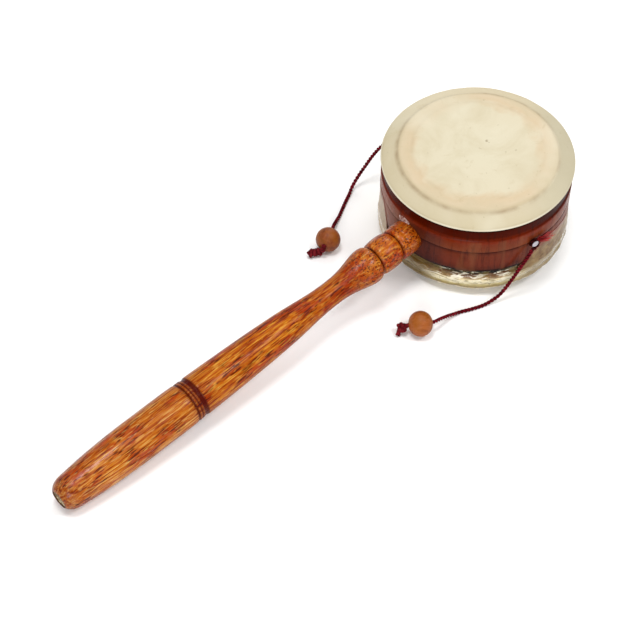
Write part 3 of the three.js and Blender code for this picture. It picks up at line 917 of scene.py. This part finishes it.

# %% [markdown]
# ## The finish of the upper head
# Dry rawhide is cream, a little translucent and almost without shine. Where it lies on the land it is
# peachy, its flange is greyer and greener, and fine darker lines of painted shade follow the two steps.
# All of this goes round the axis, so a ramp along the radius gives the zones, and a soft noise moves their
# limits. Broad blotches and a few specks lie over them, and the flange is greyer to the right, which is
# painted shade, and paler at the back.

# %% Mix the upper rawhide
tree, body, upper_skin = new_finish(
    "upper_rawhide", {"Roughness": 0.55, "IOR": 1.45, "Specular IOR Level": 0.2}
)
spot = spot_in(tree, DRUM)
radius = distance_off(spot, (1, 1, 0))
unsteady = times(measured(radius, 0.0405, 0.035), 0.018)
zone = measured(shaken(radius, spot, unsteady, 70, 4, 0.55, 0.5), 0.0, 0.0505)
zones = shades(zone, [
    (0.0, (238, 229, 200)), (0.58, (237, 226, 196)), (0.64, (234, 217, 184)), (0.69, (231, 209, 173)),
    (0.77, (232, 212, 178)), (0.81, (218, 200, 164)), (0.83, (222, 208, 176)), (0.9, (225, 212, 180)),
    (0.974, (220, 207, 173)), (0.984, (240, 231, 206)), (1.0, (236, 226, 198)),
])
# painted shade: darker lines at the steps and near the cut edge
lines = ramp(measured(radius, 0.0, 0.0505), [
    (0.0, 0.0), (0.64, 0.0), (0.672, 0.2), (0.70, 0.0), (0.80, 0.0), (0.829, 1.0), (0.86, 0.0),
    (0.96, 0.0), (0.974, 0.4), (0.98, 0.0),
])
on_flange = measured(radius, 0.0415, 0.0425)
feed(body, "Base Color", layered(zones, [
    # painted shade along the steps
    (times(lines, patches(spot, 90, 0.36, 0.6, 3)), 0.8, (170, 144, 108)),
    (patches(spot, 42, 0.42, 0.62, 5, 0.65, 0.8), 0.5, (218, 204, 168)),
    (patches(spot, 24, 0.5, 0.68, 3), 0.6, (246, 238, 212)),
    (patches(spot, 75, 0.6, 0.7, 5, 0.7, 1.6), 0.45, (204, 186, 146)),
    (specks_at(spot, 330.0, 0.715), 0.55, (150, 132, 100)),
    # painted shade: the flange is greyer towards the right
    (times(facing(spot, -48, 12, 60), on_flange), 0.8, (207, 197, 167)),
    (times(facing(spot, 50, 20, 60), on_flange), 0.6, (240, 224, 188)),
]))
grain = noise_at(spot, 900, 5, 0.65)
feed(body, "Roughness", measured(grain, -1.2, 1.9))
bumped(body, reckon("ADD", grain, noise_at(spot, 130, 3)), 0.35, 0.2)

# %% [markdown]
# ## The finish of the lower head
# This skin was varnished, so it is yellower and glossy, and it is darker in its crease and along its lip.
# A ramp along the height gives those lines, a pale band on the bulge that is partly the skin's own tone and
# partly painted highlight, and the nearly black joint, which is painted shadow in the gap under the ring;
# noise breaks them. The varnish has crinkled on the skirt: one fine noise, drawn out round the drum, gives
# its bump, painted glints on it and darker hollows in it. Three masks make it olive at the right, pinkish
# at the far left, which is painted reflection, and dark under the collar, which is the painted shadow of
# the handle. The coat stops below the joint, where there is no varnish.

# %% Mix the lower rawhide
tree, body, lower_skin = new_finish(
    "varnished_rawhide", {"Roughness": 0.3, "IOR": 1.5, "Specular IOR Level": 0.2, "Coat Roughness": 0.05}
)
spot = spot_in(tree, DRUM)
height = put("ShaderNodeSeparateXYZ", {0: spot}).outputs["Z"]
level = measured(shaken(height, spot, 0.0016, 260, 4), -0.0295, -0.0115)
# the near-black stops at the top are painted shadow in the joint's gap; the pale stops on the bulge are
# partly the skin's tone, partly painted highlight
bands = shades(level, [
    (0.0, colour(214, 204, 170)), (0.2, (234, 217, 188)), (0.27, (250, 243, 212)), (0.33, (232, 216, 178)),
    (0.38, (116, 96, 52)), (0.43, (186, 168, 108)), (0.5, (238, 226, 182)), (0.6, (246, 236, 196)),
    (0.7, (226, 206, 158)), (0.74, (150, 116, 68)), (0.79, (104, 66, 30)), (0.85, (84, 46, 18)),
    (0.872, colour(34, 14, 6)), (0.9, colour(10, 4, 2)), (1.0, colour(6, 2, 1)),
], SIDE_LIGHT)
crinkle = noise_at(unrolled(spot, 0.2), 760, 3, 0.55, 0.8)
crinkled_part = ramp(level, [(0.42, 0.0), (0.5, 0.5), (0.68, 1.0), (0.86, 0.9), (0.9, 0.0)])
here_and_there = patches(spot, 60, 0.44, 0.56, 2)
# where the painted glints go
painted_glint_part = mixed(measured(level, 0.74, 0.8), crinkled_part, here_and_there)
feed(body, "Base Color", layered(bands, [
    (patches(spot, 170, 0.42, 0.64, 4, 0.6, 0.8), 0.5, (158, 138, 78)),
    (specks_at(spot, 650.0, 0.62), 0.6, colour(92, 72, 42)),
    # painted glints on the crinkles
    (times(measured(crinkle, 0.54, 0.6), painted_glint_part), 0.75, (255, 250, 226)),
    (times(measured(crinkle, 0.48, 0.4), crinkled_part), 0.5, (78, 50, 22)),
    (facing(spot, -58, 40, 60), 0.95, (134, 114, 76)),
    # painted reflection: pinkish at the far left
    (facing(spot, 146, 6, 22), 0.8, (204, 180, 150)),
    # painted shadow of the handle under the collar
    (facing(spot, -177, 8, 20), 0.85, (96, 76, 32)),
], SIDE_LIGHT))
feed(body, "Coat Weight", measured(level, 0.86, 0.74))
feed(body, "Roughness", measured(crinkle, -0.3, 2.4))
bumped(body, crinkle, 1.0, 0.9)

# %% [markdown]
# ## The finish of the raised skin
# Where the skin was smoothed up the wall it is thinner, so the wood shows through and it looks olive. It
# has broad blotches and a few dark worn spots, and it is paler at the far left, which is painted reflection.
# Towards its upper edge it is so thin that it fades into the colour of the wood: the distance below that
# edge, which was kept in the mesh, gives the mask.

# %% Mix the raised skin
tree, body, thin_skin = new_finish(
    "thin_varnished_rawhide",
    {"Roughness": 0.35, "IOR": 1.45, "Specular IOR Level": 0.1, "Coat Weight": 0.1, "Coat Roughness": 0.2},
)
spot = spot_in(tree, DRUM)
blotches = patches(spot, 180, 0.38, 0.64, 4, 0.6, 0.6)
olive = mixed(blotches, colour(104, 74, 44, SIDE_LIGHT), colour(138, 112, 70, SIDE_LIGHT))
below_edge = put("ShaderNodeAttribute", {}, tree, attribute_name="below_edge").outputs["Fac"]
feed(body, "Base Color", layered(olive, [
    # painted reflection: paler at the far left
    (facing(spot, 146, 14, 36), 0.75, (194, 174, 148)),
    (measured(shaken(below_edge, spot, 6.0, 260, 3), 4.6, 0.6), 1.0, (124, 66, 44)),
    (specks_at(spot, 420.0, 0.64), 0.6, colour(88, 68, 40)),
], SIDE_LIGHT))
ripple = noise_at(spot, 420, 4)
feed(body, "Roughness", measured(ripple, -0.3, 2.0))
bumped(body, ripple, 0.5, 0.3)

# %% [markdown]
# ## The finish of the ring
# The ring was stained dark red and lacquered. Its figure runs up and down, so the streaks are drawn out
# along the axis. The ramp along the height gives the darker upper band with a painted shadow line under
# the head's edge, a painted red highlight on its step, the nearly black groove, and painted shadow at the
# joint. The ring is paler at the far left, which is painted reflection, darker beside the collar, which
# is the painted shadow of the handle, and darkest in the groove and the band at the right, which is
# painted shade under the head. Only the wall below the band has a thin glossy coat.

# %% Mix the ring's lacquer
tree, body, lacquer = new_finish(
    "red_lacquer", {"Roughness": 0.22, "IOR": 1.45, "Specular IOR Level": 0.02, "Coat Roughness": 0.2}
)
spot = spot_in(tree, DRUM)
height = put("ShaderNodeSeparateXYZ", {0: spot}).outputs["Z"]
level = measured(height, -0.0125, 0.0205)
# painted shadow under the head's edge (top stops) and at the joint (bottom stops); painted red highlight on
# the step (0.715 to 0.765)
bands = shades(level, [
    (0.0, (8, 2, 1)), (0.062, (12, 3, 2)), (0.085, (92, 34, 18)), (0.2, (120, 46, 26)),
    (0.42, (122, 50, 27)), (0.484, (88, 32, 18)), (0.497, (62, 20, 10)), (0.51, (136, 64, 34)),
    (0.66, (128, 50, 22)), (0.715, (134, 42, 8)), (0.765, (112, 30, 2)), (0.81, (84, 18, 0)),
    (0.93, (78, 14, 0)), (0.965, (34, 5, 1)), (1.0, (16, 3, 1)),
])
figure = streaks_at(spot, (1, 1, 0.12), 520.0, 0.5)
on_wall = measured(height, 0.0122, 0.0112)
# where painted shade darkens the groove and the band
painted_shade_groove_and_band = ramp(level, [
    (0.484, 0.0), (0.491, 1.0), (0.503, 1.0), (0.51, 0.0), (0.72, 0.0), (0.77, 0.6),
])
feed(body, "Base Color", layered(bands, [
    (measured(figure["Streaks"], 0.5, 0.66), 0.6, (62, 18, 8)),
    (times(measured(figure["Broad"], 0.5, 0.62), on_wall), 0.4, (146, 86, 54)),
    # painted reflection: paler at the far left
    (times(facing(spot, 148, 4, 26), on_wall), 0.55, (190, 142, 124)),
    # painted shadow of the handle beside the collar
    (times(facing(spot, -170, 3, 16), on_wall), 0.6, (60, 26, 24)),
    # painted shade under the head at the right
    (times(facing(spot, -62, 24, 48), painted_shade_groove_and_band), 1.0, (36, 6, 2)),
]))
feed(body, "Coat Weight", times(measured(height, 0.0135, 0.0120), 0.12))
dents = noise_at(spot, 190, 3)
feed(body, "Roughness", measured(dents, -0.45, 2.9))
bumped(body, reckon("ADD", dents, times(figure["Streaks"], 0.3)), 0.4, 0.2)

# %% [markdown]
# ## The figure of the handle's wood
# The handle is an orange-brown wood. Long streaks and dashes of open pores run along it. Close to the
# drum the wood was cut across its fibres, so there the figure is cloudy and the pores are short dots.
# Both kinds are made and a mask along the handle chooses between them. Redder clusters and a few pale
# flecks lie over the streaks.

# %% Mix the handle's wood
tree, body, varnished_wood = new_finish(
    "varnished_handle_wood",
    {"Roughness": 0.3, "IOR": 1.48, "Specular IOR Level": 0.05, "Coat Roughness": 0.27},
)


def either(share, first, second):
    """One value or another, chosen by a mask."""
    return put("ShaderNodeMix", {0: share, 2: first, 3: second}).outputs[0]


spot = spot_in(tree, DRUM)
along = times(put("ShaderNodeSeparateXYZ", {0: spot}).outputs["X"], -1.0)
near_drum = measured(along, 0.104, 0.084)
streaky = streaks_at(spot, (0.05, 1, 1), 1080.0, 0.4)["Streaks"]
cloudy = patches(stretched(spot, (0.5, 1, 1)), 420, -0.8, 1.8, 3)
grain = either(near_drum, streaky, cloudy)
long_pores = pores_at(spot, (0.09, 1, 1), 1400.0, 0.53)
short_pores = pores_at(spot, (0.7, 1, 1), 1350.0, 0.535)
pores = either(near_drum, long_pores, short_pores)
clusters = noise_at(stretched(spot, (0.4, 1, 1)), 150, 3)
porous = either(near_drum, measured(clusters, 0.42, 0.54), measured(clusters, 0.3, 0.44))
other_spot = reckon_vector("ADD", spot, (0.3, 0.2, 0.1))  # so that the flecks miss the pores
woods = shades(grain, [
    (0.34, (124, 42, 1)), (0.43, (172, 76, 4)), (0.5, (196, 106, 20)), (0.57, (208, 128, 42)),
    (0.66, (232, 174, 94)),
])
figured = layered(woods, [
    (measured(clusters, 0.52, 0.6), 0.75, (180, 62, 2)),
    (times(pores, porous), 0.9, (88, 24, 3)),
    (pores_at(other_spot, (0.16, 1, 1), 1000.0, 0.6), 0.4, (244, 190, 104)),
])
print("handle wood:", len(tree.nodes), "nodes so far")

# %% [markdown]
# ## The stain and the varnish of the handle
# A ramp along the handle acts as a ruler. Its stops are the places of the grooves, where dark stain has
# gathered, and a second ramp warms or cools the wood zone by zone. The flanks are darker, which is painted
# shade at the handle's edges. The butt's cut end shows pale end grain in a dark ring. The varnish is
# uneven: thin on the grip, which hands have worn, thicker near the drum and on the butt, and missing in
# the grooves and on the cut end. It fills the pores, so they barely show in the bump.

# %% Stain and varnish the handle
NEAR, FAR = 49.0, 275.0
ruler = measured(along, NEAR * MM, FAR * MM)


def marks(grooves):
    """A mask of the grooves, each given as its place and half its width in mm, and its depth of stain."""
    stops = [(0.0, 0.0)]
    for place, half, shade in grooves:
        share = [(place + shift * half - NEAR) / (FAR - NEAR) for shift in (-1.5, -0.9, 0.9, 1.5)]
        stops += [(share[0], 0.0), (share[1], shade), (share[2], shade), (share[3], 0.0)]
    return ramp(ruler, [*stops, (1.0, 0.0)])


stain = marks([
    (56.3, 0.15, 0.4), (60.6, 0.4, 0.75), (74.85, 0.45, 0.85), (193.9, 1.2, 0.95), (196.5, 0.42, 0.9),
    (198.4, 0.5, 0.95),
])
warmth = ramp(ruler, [
    (0.0, (1.0, 0.72, 0.4, 1)), (0.05, (1.05, 0.8, 0.5, 1)), (0.09, (1.05, 0.9, 0.7, 1)),
    (0.14, (1.06, 1.04, 0.86, 1)), (0.2, (0.8, 0.54, 0.34, 1)), (0.4, (0.99, 0.82, 0.31, 1)),
    (0.6, (1.04, 0.97, 0.55, 1)), (0.64, (0.75, 0.56, 0.4, 1)), (0.663, (0.75, 0.56, 0.4, 1)),
    (0.68, (1.02, 1.0, 0.98, 1)), (0.86, (1.08, 1.1, 1.08, 1)), (0.95, (0.98, 0.88, 0.84, 1)),
    (1.0, (0.66, 0.54, 0.66, 1)),
])
# painted shade on the flanks, which face away from the eye
painted_flank_shade = put("ShaderNodeLayerWeight", {"Blend": 0.35}, tree).outputs["Facing"]
stained = layered(mixed(1.0, figured, warmth, "MULTIPLY"), [
    # painted shade on the flanks
    (measured(painted_flank_shade, 0.45, 0.95), 0.55, (104, 44, 26)),
    (stain, 1.0, (84, 12, 4)),
])
off_axis = distance_off(spot, (0, 1, 1))
cut_end = times(measured(off_axis, 0.00475, 0.00445), measured(along, 0.2725, 0.2729))
bright_pith = patches(spot, 700, 0.52, 0.62, 3)
end_grain = mixed(bright_pith, colour(104, 80, 46, SIDE_LIGHT), colour(226, 208, 168, SIDE_LIGHT))
ringed = mixed(measured(off_axis, 0.0036, 0.0043), end_grain, colour(74, 40, 16))
feed(body, "Base Color", mixed(cut_end, stained, ringed))

bare = reckon("MAXIMUM", stain, cut_end)
broken_gloss = patches(stretched(spot, (0.3, 1, 1)), 800, 0.36, 0.62, 2)
varnish = ramp(ruler, [
    (0.0, 0.6), (0.16, 0.6), (0.24, 0.22), (0.62, 0.2), (0.7, 0.3), (0.9, 0.6), (1.0, 0.6),
])
covered = times(reckon("SUBTRACT", 1.0, bare), broken_gloss)
feed(body, "Coat Weight", times(covered, varnish))
lumps = noise_at(stretched(spot, (0.45, 1, 1)), 620, 3)
feed(body, "Roughness", measured(lumps, -0.7, 3.2))
relief = reckon("SUBTRACT", times(grain, 0.6), times(pores, 0.35))
bumped(body, reckon("ADD", relief, lumps), 0.55, 0.3)
print("handle finish:", len(tree.nodes), "nodes")

# %% [markdown]
# ## The finish of the beads
# The beads are a plainer wood with a thin satin coat and faint streaks along their holes. Each bead
# lies its own way, so each gets the same finish read in its own frame. The left one is a little darker.

# %% Mix the beads' wood
def bead_finish(side, dark, middle, light):
    tree, body, finish = new_finish(
        f"bead_wood_{side}", {"Roughness": 0.4, "IOR": 1.45, "Specular IOR Level": 0.25}
    )
    spot = spot_in(tree, bead_places[side])
    figure = streaks_at(spot, (1, 1, 0.3), 480.0, 0.5)
    woods = shades(figure["Streaks"], [(0.35, dark), (0.5, middle), (0.65, light)])
    feed(body, "Base Color", layered(woods, [
        (patches(spot, 170, 0.48, 0.62, 3), 0.6, (166, 92, 12)),
        (pores_at(spot, (1, 1, 0.2), 1700.0, 0.68), 0.4, (104, 44, 12)),
    ]))
    feed(body, "Roughness", measured(figure["Broad"], -1.2, 2.6))
    bumped(body, figure["Streaks"], 0.2, 0.08)
    return finish


BEAD_TONES = {
    "right": ((150, 74, 22), (174, 92, 30), (186, 104, 50)),
    "left": ((122, 58, 20), (146, 72, 26), (160, 84, 40)),
}

# %% [markdown]
# ## The finish of the cords, the tufts, the nails and the glue
# The cord is matt maroon thread. Its fibres follow the strands, so they are noise on the UV map that was
# made with the tubes. The creases between the strands are painted darker, as shade, than what stands
# proud: the mesh keeps how proud each point is, and on a tuft how near the tip, so a tuft is darker
# towards its root. The same finish in other tones serves the cords, the knots, the turns at the nails
# and the tufts; the turns at the nails are darkest, which is painted shade under the nails' heads. The
# nails are bright plated steel, a little scratched, and the glue is clear and glossy with some haze in it.

# %% Mix the small finishes
def thread_finish(name, deep, dark, light, sheen=0.0):
    """Thread with painted shade in its creases, and dark to light where it stands proud."""
    tree, body, finish = new_finish(name, {
        "Roughness": 0.8, "Specular IOR Level": 0.03, "Sheen Weight": sheen, "Sheen Roughness": 0.4,
    })
    fibre = put("ShaderNodeUVMap", {}, tree, uv_map="fibre").outputs["UV"]
    turned = put("ShaderNodeMapping", {"Vector": fibre, "Scale": (6, 2.2, 1), "Rotation": (0, 0, 0.6)})
    fuzz = noise_at(turned.outputs["Vector"], 2.4, 3)
    worn = noise_at(put("ShaderNodeTexCoord", {}, tree).outputs["Object"], 420, 2)
    share = measured(reckon("ADD", fuzz, worn), 0.75, 1.3)
    proud = put("ShaderNodeAttribute", {}, tree, attribute_name="proud").outputs["Fac"]
    fibres = mixed(share, colour(*dark), colour(*light))
    # painted shade: the deep colour where the thread does not stand proud, in the creases
    feed(body, "Base Color", mixed(measured(proud, 0.35, 0.9), colour(*deep), fibres))
    feed(body, "Roughness", measured(fuzz, -2.0, 1.4))
    bumped(body, fuzz, 0.6, 0.08)
    return finish


thread = thread_finish("maroon_thread", (18, 0, 2), (66, 4, 12), (150, 30, 44))
knotted = thread_finish("knotted_thread", (26, 0, 4), (74, 8, 16), (156, 44, 52))
# painted shade: the turns under the nails' heads are darkest
thread_in_nail_shade = thread_finish("shaded_thread_at_the_nails", (8, 1, 1), (30, 4, 5), (84, 20, 20))
frayed = thread_finish("frayed_thread", (136, 4, 6), (206, 26, 30), (244, 96, 96), 0.1)

tree, body, plated = new_finish("plated_nail", {"Metallic": 0.2, "Roughness": 0.35})
spot = spot_in(tree, DRUM)
scratches = noise_at(stretched(spot, (1, 1, 5)), 900, 4)
feed(body, "Base Color", mixed(
    measured(scratches, 0.4, 0.6), colour(236, 230, 238), colour(168, 160, 170)
))
feed(body, "Roughness", measured(scratches, -0.3, 2.2))
bumped(body, scratches, 0.3, 0.04)

tree, body, clear_glue = new_finish(
    "clear_glue", {"Roughness": 0.15, "IOR": 1.47, "Transmission Weight": 0.25}
)
haze = noise_at(spot_in(tree, DRUM), 700, 3)
feed(body, "Base Color", mixed(
    measured(haze, 0.4, 0.6), colour(226, 190, 180, SIDE_LIGHT), colour(140, 84, 74, SIDE_LIGHT)
))
feed(body, "Roughness", measured(haze, -0.2, 2.6))
bumped(body, haze, 0.5, 0.2)


def dress(piece, finish):
    piece.data.materials.clear()
    piece.data.materials.append(finish)


for piece, finish in (
    (upper_head, upper_skin), (lower_head, lower_skin), (raised_skin, thin_skin), (ring, lacquer),
    (handle, varnished_wood), (glue, clear_glue),
):
    dress(piece, finish)
for side in SIDES:
    dress(beads[side], bead_finish(side, *BEAD_TONES[side]))
    dress(nails[side], plated)
    dress(tufts[side], frayed)
    dress(cords[side], thread)
    dress(hitches[side], thread_in_nail_shade)
    dress(knots[side], knotted)
print("finishes:", sorted(finish.name for finish in bpy.data.materials))

# %% [markdown]
# ## The table and the light
# The photograph was taken on white paper under broad soft lamps. A white sheet lies just under what
# the drum rests on. Two lamps hang nearly overhead, one to each side of the camera, and give the highlights.
# Two larger ones, in front and behind, and a pale surrounding fill the shadows.

# %% Lay the paper and hang the lamps
bpy.ops.object.select_all(action="DESELECT")
bpy.ops.mesh.primitive_plane_add(size=6, location=(0.1, 0, -0.1 * MM))  # a hair below the drum
paper = bpy.context.object
paper.name = "white_paper"
_, _, paper_finish = new_finish(
    "paper", {"Base Color": (0.97, 0.97, 0.97, 1), "Roughness": 0.9, "Specular IOR Level": 0.0}
)
dress(paper, paper_finish)

across = math.radians(AZIMUTH)
to_the_right = Vector((math.cos(across), math.sin(across), 0))
far_away = Vector((-to_the_right.y, to_the_right.x, 0))
LIT_SPOT = Vector((0.05, 0, 0.02))
LAMP_DISTANCE = 1.1


def hang_lamp(name, right, far, over, size, power):
    """A square lamp that faces the drum; its way is given to the right, away from the eye and up."""
    lamp = bpy.data.lights.new(name, "AREA")
    lamp.shape = "SQUARE"
    lamp.size = size
    lamp.energy = power
    holder = bpy.data.objects.new(name, lamp)
    way = (right * to_the_right + far * far_away + over * Vector((0, 0, 1))).normalized()
    holder.location = LIT_SPOT + way * LAMP_DISTANCE
    holder.rotation_euler = way.to_track_quat("Z", "Y").to_euler()
    bpy.context.collection.objects.link(holder)


hang_lamp("left_lamp", -0.16, -0.1, 0.97, 0.27, 4.6)
hang_lamp("right_lamp", 0.47, -0.1, 0.84, 0.22, 3.6)
hang_lamp("front_lamp", -0.1, -0.9, 0.36, 0.5, 4.4)
hang_lamp("back_lamp", 0.1, 0.75, 0.7, 0.6, 3.0)
sky = bpy.data.worlds.new("studio") if bpy.context.scene.world is None else bpy.context.scene.world
bpy.context.scene.world = sky
sky.use_nodes = True
background = sky.node_tree.nodes["Background"].inputs
background["Color"].default_value = (1, 1, 1, 1)
background["Strength"].default_value = 0.56
bpy.context.scene.view_settings.view_transform = "Standard"

# %% [markdown]
# ## Tie the pieces to the imported model
# Every piece rides on the drum's one body, and each one that replaces an imported node hides that node.

# %% Ride and replace
def belongs(piece):
    """Lets a piece ride on the drum's one body."""
    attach(piece, "root")


def stands_for(piece, node):
    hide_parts(node)
    belongs(piece)


stands_for(upper_head, "drumhead_top")
stands_for(lower_head, "drumhead_bottom")
stands_for(ring, "drum_shell")
stands_for(handle, "handle")
belongs(glue)
belongs(raised_skin)
for side in SIDES:
    stands_for(nails[side], f"nail_{side}")
    stands_for(hitches[side], f"hitch_{side}")
    stands_for(beads[side], f"bead_{side}")
    stands_for(knots[side], f"knot_{side}")
    stands_for(cords[side], f"cord_{side}")
    belongs(tufts[side])
    line = CORD_LINES[side]
